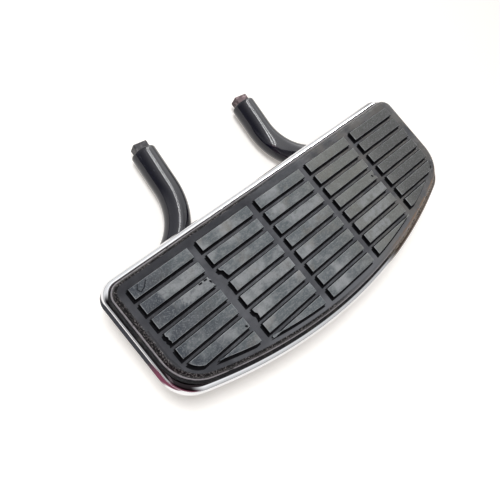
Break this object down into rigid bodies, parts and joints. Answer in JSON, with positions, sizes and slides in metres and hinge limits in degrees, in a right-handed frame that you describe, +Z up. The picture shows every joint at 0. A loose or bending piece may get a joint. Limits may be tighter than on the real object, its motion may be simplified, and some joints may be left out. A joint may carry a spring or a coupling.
{
  "type": "motorcycle floorboard",
  "caption": "Half-moon motorcycle floorboard: ribbed black rubber pad in a chrome pan, folding on two bent black bar arms that bolt to the frame.",
  "frame": {"origin": "mouth of the front arm's tapped bolt hole, on the end face of its tang", "axes": "+X along the board towards the rear of the machine, +Y from the board towards the machine's frame, +Z up; the tread is level"},
  "size_m": [0.33, 0.2127, 0.065],
  "materials": {
    "chrome": "bright chrome plate on pressed steel",
    "tread_rubber": "moulded, scuffed and dusty",
    "isolator_rubber": "moulded",
    "plate_steel": "black primer",
    "black_powder_coat": "gloss black powder coat",
    "black_paint": "satin black paint",
    "zinc_steel": "zinc plated",
    "bush_nylon": "moulded nylon"
  },
  "bodies": {
    "arms": {"front_arm": "black_powder_coat", "front_pivot_washer": "zinc_steel", "front_pivot_nut": "zinc_steel", "rear_arm": "black_powder_coat", "rear_pivot_washer": "zinc_steel", "rear_pivot_nut": "zinc_steel"},
    "board": {"base_pan": "chrome", "rubber_pad": "tread_rubber", "pad_plate": "plate_steel", "isolator_1": "isolator_rubber", "pad_stud_1": "zinc_steel", "pad_washer_1": "zinc_steel", "pad_nut_1": "zinc_steel", "isolator_2": "isolator_rubber", "pad_stud_2": "zinc_steel", "pad_washer_2": "zinc_steel", "pad_nut_2": "zinc_steel", "isolator_3": "isolator_rubber", "pad_stud_3": "zinc_steel", "pad_washer_3": "zinc_steel", "pad_nut_3": "zinc_steel", "isolator_4": "isolator_rubber", "pad_stud_4": "zinc_steel", "pad_washer_4": "zinc_steel", "pad_nut_4": "zinc_steel", "front_hinge_bracket": "black_paint", "front_inner_bush": "bush_nylon", "front_outer_bush": "bush_nylon", "rear_hinge_bracket": "black_paint", "rear_inner_bush": "bush_nylon", "rear_outer_bush": "bush_nylon"}
  },
  "joints": [
    {"name": "board_fold", "type": "hinge", "parent": "arms", "child": "board", "pos_m": [0.04867, -0.09616, 0], "axis": [-1, 0, 0], "range_deg": [0, 40]}
  ]
}
